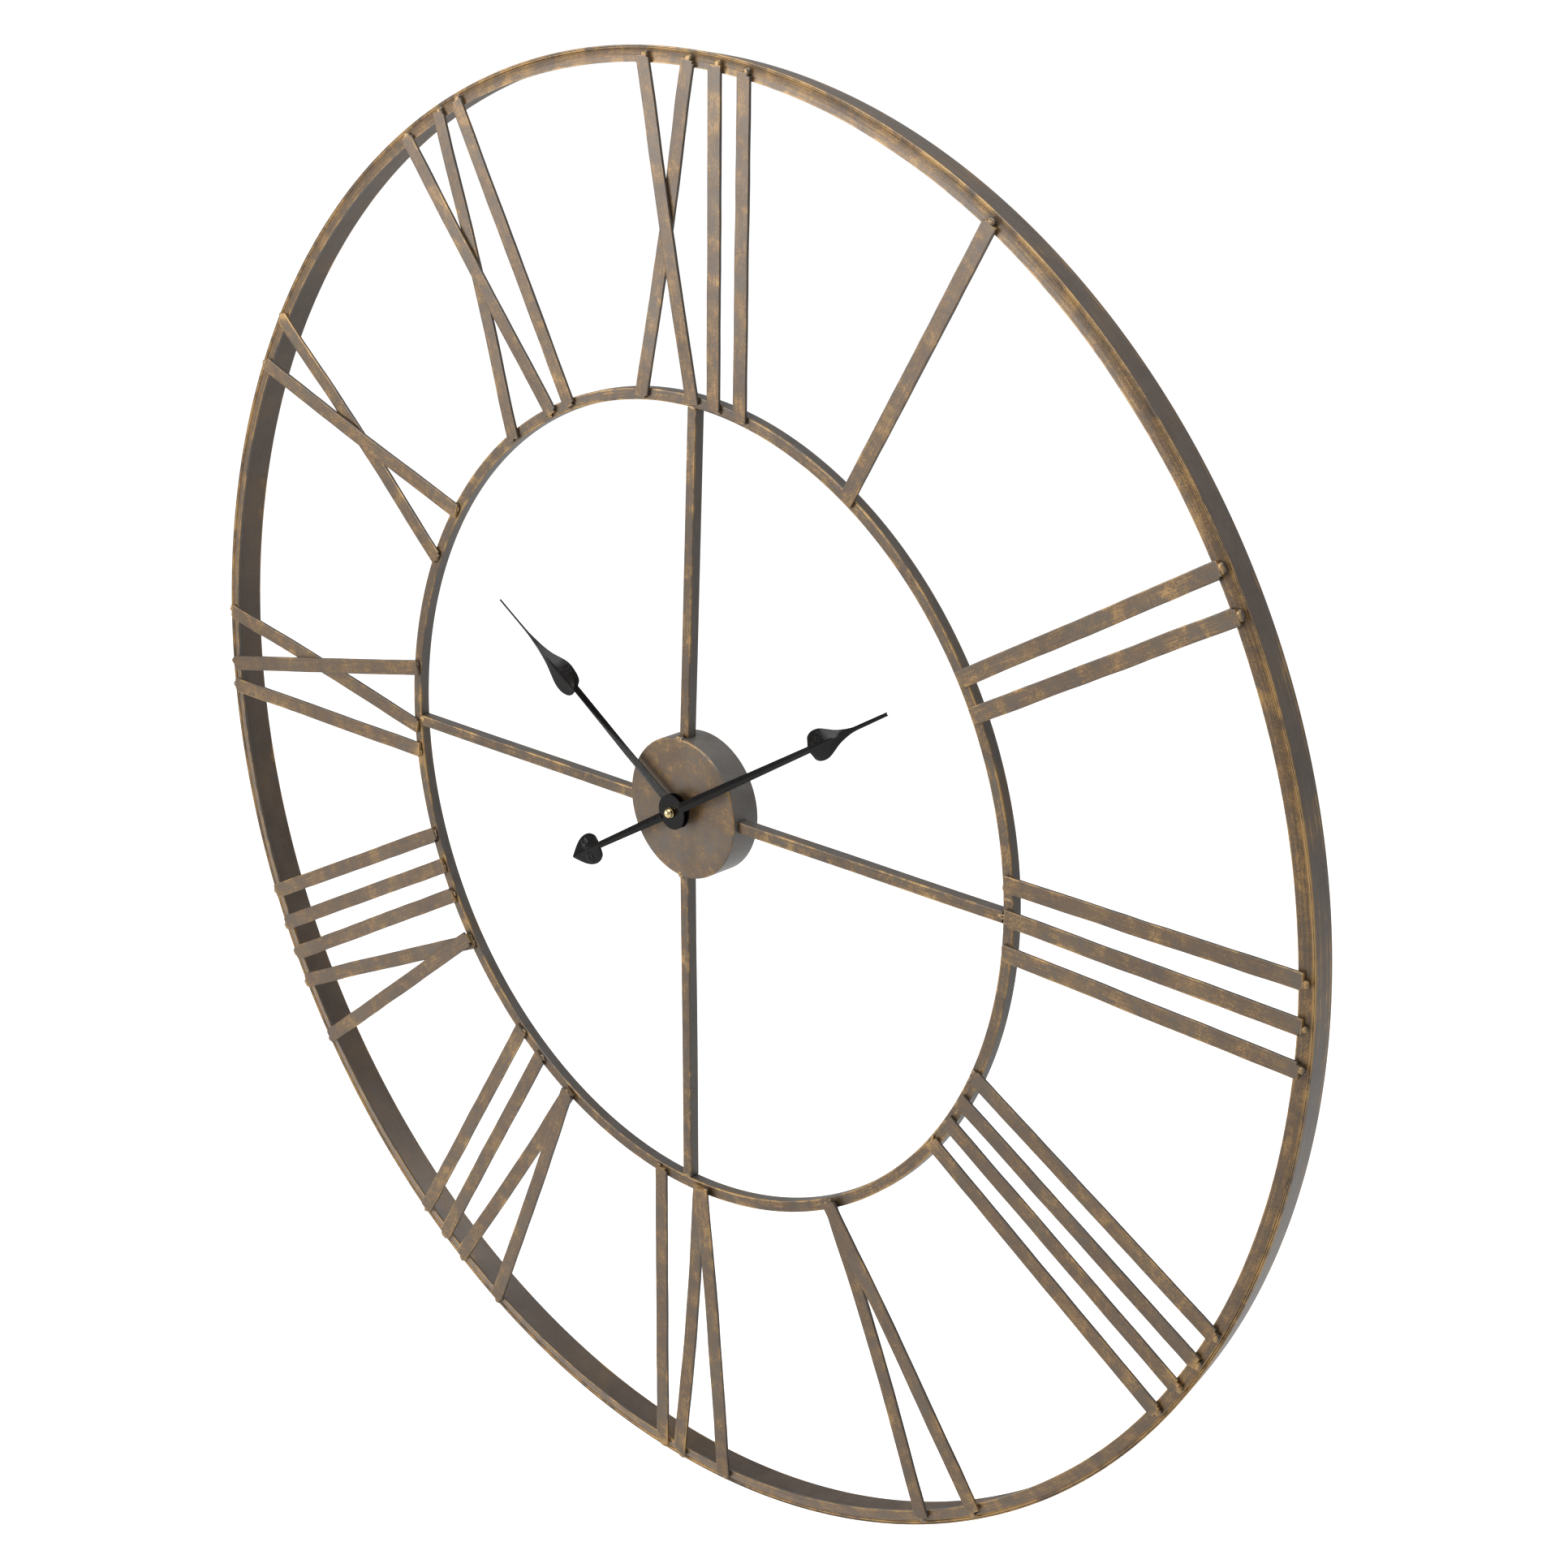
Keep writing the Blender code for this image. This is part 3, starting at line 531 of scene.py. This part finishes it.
WELD_REACH_R = 0.4955       # the tip welds run out to this radius
groups = {}
for numeral, end, at, along in WELDED_ENDS:
    groups.setdefault(numeral, []).append((end, at, along))
for numeral, spots in groups.items():
    bm = bmesh.new()
    layer = bm.verts.layers.float.new("edge")
    for end, at, along in spots:
        seed = dice.uniform(0.0, 90.0)
        across = along.cross(Vector((0.0, 1.0, 0.0)))
        if end == "tip":
            # one tongue of weld from the strip's end over the flange
            reach = max(0.0012, (WELD_REACH_R - math.hypot(at.x, at.z)) * 0.5)
            half_w = dice.uniform(0.0020, 0.0034)
            lean = dice.choice((-1.0, 1.0)) * dice.uniform(0.0, 0.0022)
            spot = at + along * (reach * 0.5 - 0.0004) + across * lean + Vector((0.0, 0.0010, 0.0))
            bead(bm, layer, spot, along, (reach + 0.0014, half_w, 0.0018), seed)
        else:
            # none, one or two small spots at the foot
            for k in range(dice.choice((0, 1, 1, 2))):
                spot = at + across * dice.uniform(-0.0042, 0.0042) - along * dice.uniform(-0.0004, 0.0008)
                spot += Vector((0.0, 0.0007, 0.0))
                bead(bm, layer, spot, along, (0.0011, 0.0019, 0.0008), seed + 9.0 * k)
    name = "weld_beads_" + numeral
    place(name, from_bmesh(name, bm), WELD, "frame", (), 180.0)

# ---------------------------------------------------------------- rings
burns_out = [(tuple(at + along * 0.001), 0.0062) for _, end, at, along in WELDED_ENDS if end == "tip"]
burns_in = [(tuple(at), 0.0058) for _, end, at, _ in WELDED_ENDS if end == "foot"]


def ring_section(node):
    """The four corners (radius, y) of a CAD ring: front inner, front outer, rear outer, rear inner."""
    points = [(math.hypot(v.co.x, v.co.z), v.co.y) for v in nodes[node].data.vertices]
    return [min(points, key=lambda p: p[0] + p[1]), min(points, key=lambda p: p[1] - p[0]),
            max(points, key=lambda p: p[0] + p[1]), max(points, key=lambda p: p[1] - p[0])]


def between(a, b, t):
    return (a[0] + (b[0] - a[0]) * t, a[1] + (b[1] - a[1]) * t)


f_in, f_out, r_out, r_in = ring_section("outer_band")
outline, near = rounded([(*f_in, 0.9), (*f_out, 0.9), (*between(f_out, r_out, 0.30), 0.38),
                         (*between(f_out, r_out, 0.66), 0.45), (*between(f_out, r_out, 0.86), 0.65),
                         (*r_out, 1.0), (*r_in, 0.7), (*between(r_in, f_in, 0.5), 0.0)], 0.00055)
mesh = revolve("band_hoop", outline, near, 720, burns_out)
place("band_hoop", mesh, BAND, "frame", ["outer_band"])

CROWN = 0.00035             # the flange's face is this much higher in the middle
f_in, f_out, r_out, r_in = ring_section("outer_flange")
crown_r, crown_y = between(f_in, f_out, 0.5)
outline, near = rounded([(*f_in, 0.85), (crown_r, crown_y - CROWN, 0.0), (*f_out, 1.0), (*r_out, 0.3),
                         (*r_in, 0.3)], 0.0004)


def flange_shape(p):
    """The weld to the hoop opens to a thin groove in places, and the sheet is slightly wavy."""
    wave = 0.00022 * wander(p, 16.0, 5.0)
    if math.hypot(p[0], p[2]) < crown_r + 0.001:
        return wave, wave * 0.8
    groove = 0.0007 * min(0.3, wander(p, 7.0, 3.0)) if p[1] < f_out[1] + 0.0007 else 0.0002
    return 0.0004 + groove, wave * 0.8


mesh = revolve("flange_ring", outline, near, 720, burns_out, flange_shape)
place("flange_ring", mesh, FLANGE, "frame", ["outer_flange"])

inner_section = ring_section("inner_ring")
outline, near = rounded([(*p, w) for p, w in zip(inner_section, (0.8, 0.8, 0.5, 0.5))], 0.0007)
mesh = revolve("ring_bar", outline, near, 480, burns_in)
place("ring_bar", mesh, IRON, "frame", ["inner_ring"])

# ---------------------------------------------------------------- spokes
SPOKE_EDGE = 0.0008         # corner radius of the section
SPOKE_STEPS = 40
SPOKE_BURN = 0.006
for node in ("spoke_top", "spoke_right", "spoke_bottom", "spoke_left"):
    foot, way, length = strip_axis(node)[:3]
    low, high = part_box(node)
    half = (high.y - low.y) / 2.0
    y_mid = (low.y + high.y) / 2.0
    outline, near = rounded([(-half, -half, 0.55), (half, -half, 0.7), (half, half, 0.4), (-half, half, 0.4)],
                            SPOKE_EDGE)
    stations = list(np.linspace(0.0, length, SPOKE_STEPS))
    side_way = np.array([way[1], -way[0]])
    grid, edge, burn = blank(len(stations), len(outline))
    for i, t in enumerate(stations):
        for j, (x, y) in enumerate(outline):
            p = foot + way * t + side_way * (x + 0.00025 * wander((t, 0.0, 1.0), 12.0, len(node)))
            grid[i, j] = (p[0], y_mid + y, p[1])
            edge[i, j] = near[j]
            burn[i, j] = 0.7 * max(0.0, 1.0 - min(t, length - t) / SPOKE_BURN)
    mesh = skin(node + "_bar", grid, stations + [0.0], lengths(outline), edge, burn)
    place(node + "_bar", mesh, IRON, "frame", [node])

# ---------------------------------------------------------------- hub
HUB_SHEET = 0.0015          # thickness
HUB_HOLE = 0.0043           # radius of the shaft hole
HUB_CORNER = 0.0011         # radius between the face and the side
HUB_STEPS = 160
hub_low, hub_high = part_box("hub_drum")
hub_r = hub_high.x
profile = [(HUB_HOLE, hub_low.y, 0.0), (hub_r * 0.35, hub_low.y, 0.0), (hub_r * 0.7, hub_low.y, 0.0),
           (hub_r - 0.0040, hub_low.y, 0.0)]
for n in range(6):
    a = n / 5 * math.pi / 2
    profile.append((hub_r - HUB_CORNER + HUB_CORNER * math.sin(a),
                    hub_low.y + HUB_CORNER - HUB_CORNER * math.cos(a), 0.75 if 0 < n < 5 else 0.3))
profile += [(hub_r, hub_low.y + 0.0030, 0.0), (hub_r, hub_high.y - 0.0012, 0.0),
            (hub_r, hub_high.y - 0.0003, 0.9), (hub_r - 0.0003, hub_high.y, 1.0),
            (hub_r - HUB_SHEET, hub_high.y, 0.7),
            (hub_r - HUB_SHEET, hub_low.y + HUB_SHEET, 0.0), (HUB_HOLE, hub_low.y + HUB_SHEET, 0.0)]
mesh = revolve("hub_shell", [(r, y) for r, y, _ in profile], [wear for _, _, wear in profile], HUB_STEPS)
place("hub_shell", mesh, HUB, "frame", ["hub_drum"], 35.0)

# ---------------------------------------------------------------- weld spots of the frame itself
ring_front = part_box("inner_ring")[0].y
ring_in_r = inner_section[0][0]
FRAME_SPOTS = (     # degrees from twelve o'clock, radius, y, half sizes, depth of the pinhole
    (-1.6, hub_r - 0.0006, hub_low.y + 0.0012, (0.0024, 0.0030, 0.0016), 1.3),
    (182.6, hub_r - 0.0006, hub_low.y + 0.0012, (0.0022, 0.0028, 0.0015), 1.3),
    (90.3, ring_in_r - 0.0006, ring_front + 0.0010, (0.0042, 0.0018, 0.0013), 0.9),
    (269.5, ring_in_r - 0.0004, ring_front + 0.0010, (0.0030, 0.0026, 0.0013), 0.0),
    (2.4, ring_in_r - 0.0004, ring_front + 0.0010, (0.0018, 0.0032, 0.0011), 0.0),
    (181.1, ring_in_r - 0.0004, ring_front + 0.0010, (0.0018, 0.0032, 0.0011), 0.0),
    (87.8, ring_in_r + 0.0036, ring_front + 0.0004, (0.0036, 0.0012, 0.0006), 0.0))
bm = bmesh.new()
layer = bm.verts.layers.float.new("edge")
for degrees, radius, y, size, pit in FRAME_SPOTS:
    turn = math.radians(degrees)
    along = Vector((math.sin(turn), 0.0, math.cos(turn)))
    bead(bm, layer, along * radius + Vector((0.0, y, 0.0)), along, size, degrees, pit)
place("weld_spots_frame", from_bmesh("weld_spots_frame", bm), WELD, "frame", (), 180.0)

# ---------------------------------------------------------------- hands
HOUR_DEG, MINUTE_DEG = -57.0, 59.5      # where the hands stand at rest, clockwise from twelve o'clock
BLADE_SHEET = 0.0006                    # thickness of the folded sheet
BLADE_RIDGE = 0.0014                    # height of its crease
BLADE_GAP = 0.0002                      # from the back of the blade to the back of the boss
BOSS_R, BOSS_T = 0.0120, 0.0010
STEM_FROM = 0.0105                      # the stems start under the boss, at this radius
ROLL, ROLL_RUN = 0.0012, 0.010          # the lobes roll back by ROLL, over ROLL_RUN from the joint
DIMPLE, DIMPLE_R, DIMPLE_RIM = 0.00045, 0.0023, 0.0009


def smooth_table(table, passes=2):
    """Catmull-Rom refinement of a (z, width) table."""
    pts = [Vector(p) for p in table]
    for _ in range(passes):
        out = []
        for k in range(len(pts) - 1):
            p0, p1, p2, p3 = pts[max(0, k - 1)], pts[k], pts[k + 1], pts[min(len(pts) - 1, k + 2)]
            middle = (p1 + p2) * 0.5625 - (p0 + p3) * 0.0625
            out += [p1, middle]
        pts = out + [pts[-1]]
    return [(p.x, max(0.0004, p.y)) for p in pts]


def blade(name, table, y_back, ridge, roll_from=None, dimples=()):
    """Folded sheet blade along +Z from (z, half width), its crease toward the front."""
    columns = 33 if dimples else 13
    xs = [-1.0 + 2.0 * k / (columns - 1) for k in range(columns)]
    around = columns * 2
    grid, edge, _ = blank(len(table), around)
    for i, (z, w) in enumerate(table):
        rise = min(ridge, 0.55 * w)
        for k, x in enumerate(xs):
            y = y_back - BLADE_SHEET - rise * (1.0 - abs(x))
            if roll_from is not None and z >= roll_from:
                roll = max(0.0, 1.0 - (z - roll_from) / ROLL_RUN) ** 2
                y += ROLL * roll * abs(x) ** 1.5
            for at_x, at_z in dimples:
                d = math.hypot(x * w - at_x, z - at_z)
                y -= DIMPLE * math.exp(-((d - DIMPLE_R) / DIMPLE_RIM) ** 2)
            grid[i, k] = (x * w, y, z)
            grid[i, around - 1 - k] = (x * w, y + BLADE_SHEET, z)
    v = [0.001 * k for k in range(around + 1)]
    return skin(name, grid, [z for z, _ in table] + [0.0], v, edge)


def disc(name, outline, steps):
    """A turned piece with no edge wear."""
    return revolve(name, outline, [0.0] * len(outline), steps)


def join(name, meshes):
    bm = bmesh.new()
    for mesh in meshes:
        bm.from_mesh(mesh)
        bpy.data.meshes.remove(mesh)
    return from_bmesh(name, bm)


LOBE = ((0.045, 0.76), (0.10, 0.90), (0.17, 0.985), (0.25, 0.99), (0.33, 0.90), (0.43, 0.70), (0.55, 0.46),
        (0.70, 0.27), (0.86, 0.15))     # shares of the span from joint to neck, and of the lobe's width


def spade(joint, neck, tip, stem_w, joint_w, lobe_w, tip_w):
    """(z, half width) of a hand: a stem to the joint, a lobe that thins to the neck, and a needle."""
    stem = [(STEM_FROM, stem_w), (joint * 0.5, (stem_w + joint_w) / 2), (joint, joint_w)]
    lobe = [(joint + 0.0002, joint_w), (joint + 0.0008, 0.55 * lobe_w)]
    lobe += [(joint + share * (neck - joint), width * lobe_w) for share, width in LOBE]
    lobe += [(neck + 0.004, 1.15 * tip_w), (tip, tip_w)]
    return stem + smooth_table(lobe)


def boss(name, y_back, bore):
    lip = 0.0002
    y_front = y_back - BOSS_T
    return disc(name, [(bore, y_front), (BOSS_R * 0.6, y_front), (BOSS_R - lip, y_front),
                       (BOSS_R, y_front + lip), (BOSS_R, y_back - lip), (BOSS_R - lip, y_back),
                       (bore, y_back)], 96)


def hand_piece(name, node, body, degrees, meshes):
    mesh = join(name, meshes)
    mesh.transform(Matrix.Rotation(math.radians(degrees), 4, "Y"))
    place(name, mesh, BLACK, body, [node], 28.0)


hour_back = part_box("hour_hand")[1].y
hour = blade("hour_blade", spade(joint=0.1150, neck=0.1700, tip=0.2035, stem_w=0.0034, joint_w=0.0028,
                                 lobe_w=0.0118, tip_w=0.0006),
             hour_back - BLADE_GAP, BLADE_RIDGE, roll_from=0.1150)
hand_piece("hand_hour", "hour_hand", "hour", HOUR_DEG, [hour, boss("hour_boss", hour_back, bore=0.0026)])

TAIL_STEM = [(STEM_FROM, 0.0030), (0.0500, 0.0026), (0.0830, 0.0023)]
TAIL_HEART = [(0.0830, 0.0030), (0.0836, 0.0066), (0.0858, 0.0088), (0.0890, 0.0103), (0.0930, 0.0108),
              (0.0985, 0.0099), (0.1040, 0.0075), (0.1090, 0.0043), (0.1140, 0.0007)]
minute_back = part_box("minute_hand")[1].y
minute = blade("minute_blade", spade(joint=0.1450, neck=0.1960, tip=0.2215, stem_w=0.0034, joint_w=0.0022,
                                     lobe_w=0.0102, tip_w=0.0012),
               minute_back - BLADE_GAP, BLADE_RIDGE, roll_from=0.1450)
tail = blade("minute_tail", TAIL_STEM + smooth_table(TAIL_HEART, 4), minute_back - BLADE_GAP, 0.0010,
             dimples=((-0.0052, 0.0960), (0.0052, 0.0960)))
tail.transform(Matrix.Rotation(math.pi, 4, "Y"))
hand_piece("hand_minute", "minute_hand", "minute", MINUTE_DEG,
           [minute, tail, boss("minute_boss", minute_back, bore=0.0013)])

# cap nut on the minute arbor: a collar and a dome
NUT_BORE, COLLAR_R = 0.0011, 0.0034
DOME_R, DOME_T, DOME_STEPS = 0.0033, 0.0029, 14
AXIS_R = 0.00002            # keeps the closing ring of points off the axis
nut_low, nut_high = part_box("minute_nut")
profile = [(NUT_BORE, nut_high.y), (0.0032, nut_high.y), (COLLAR_R, nut_high.y - 0.0003),
           (COLLAR_R, nut_high.y - 0.0011), (0.0030, nut_high.y - 0.0014), (0.0027, nut_high.y - 0.0016)]
dome_y = nut_low.y + DOME_T
for n in range(DOME_STEPS):
    a = (n / DOME_STEPS - 0.12) * math.pi / 2
    profile.append((DOME_R * math.cos(a), dome_y - DOME_T * math.sin(a)))
profile += [(AXIS_R, nut_low.y), (AXIS_R, nut_high.y)]
place("cap_nut", disc("cap_nut", profile, 64), BRASS, "minute", ["minute_nut"], 40.0)

# ---------------------------------------------------------------- carried-over CAD nodes
LOOKS = {"movement_case": PLASTIC, "case_cover": PLASTIC, "setting_knob": PLASTIC, "mounting_nut": BRASS,
         "hour_wheel": BRASS, "centre_wheel": ACETAL, "motion_wheel": ACETAL, "third_wheel": ACETAL,
         "rotor": STEEL, "battery": CELL, "coil": COPPER, "hanger_strap": IRON}
for node, mat in LOOKS.items():
    nodes[node].data.materials.clear()
    nodes[node].data.materials.append(mat)

# ---------------------------------------------------------------- floor
FLOOR_DROP = 0.30           # how far the floor lies below the clock
FLOOR_R = 14.0
bm = bmesh.new()
bmesh.ops.create_circle(bm, cap_ends=True, segments=96, radius=FLOOR_R)
bmesh.ops.translate(bm, vec=(0.0, 0.0, cad_box[0].z - FLOOR_DROP), verts=bm.verts)
mesh = from_bmesh("floor", bm)
mesh.materials.append(PALE)
floor = bpy.data.objects.new("floor", mesh)
bpy.context.scene.collection.objects.link(floor)
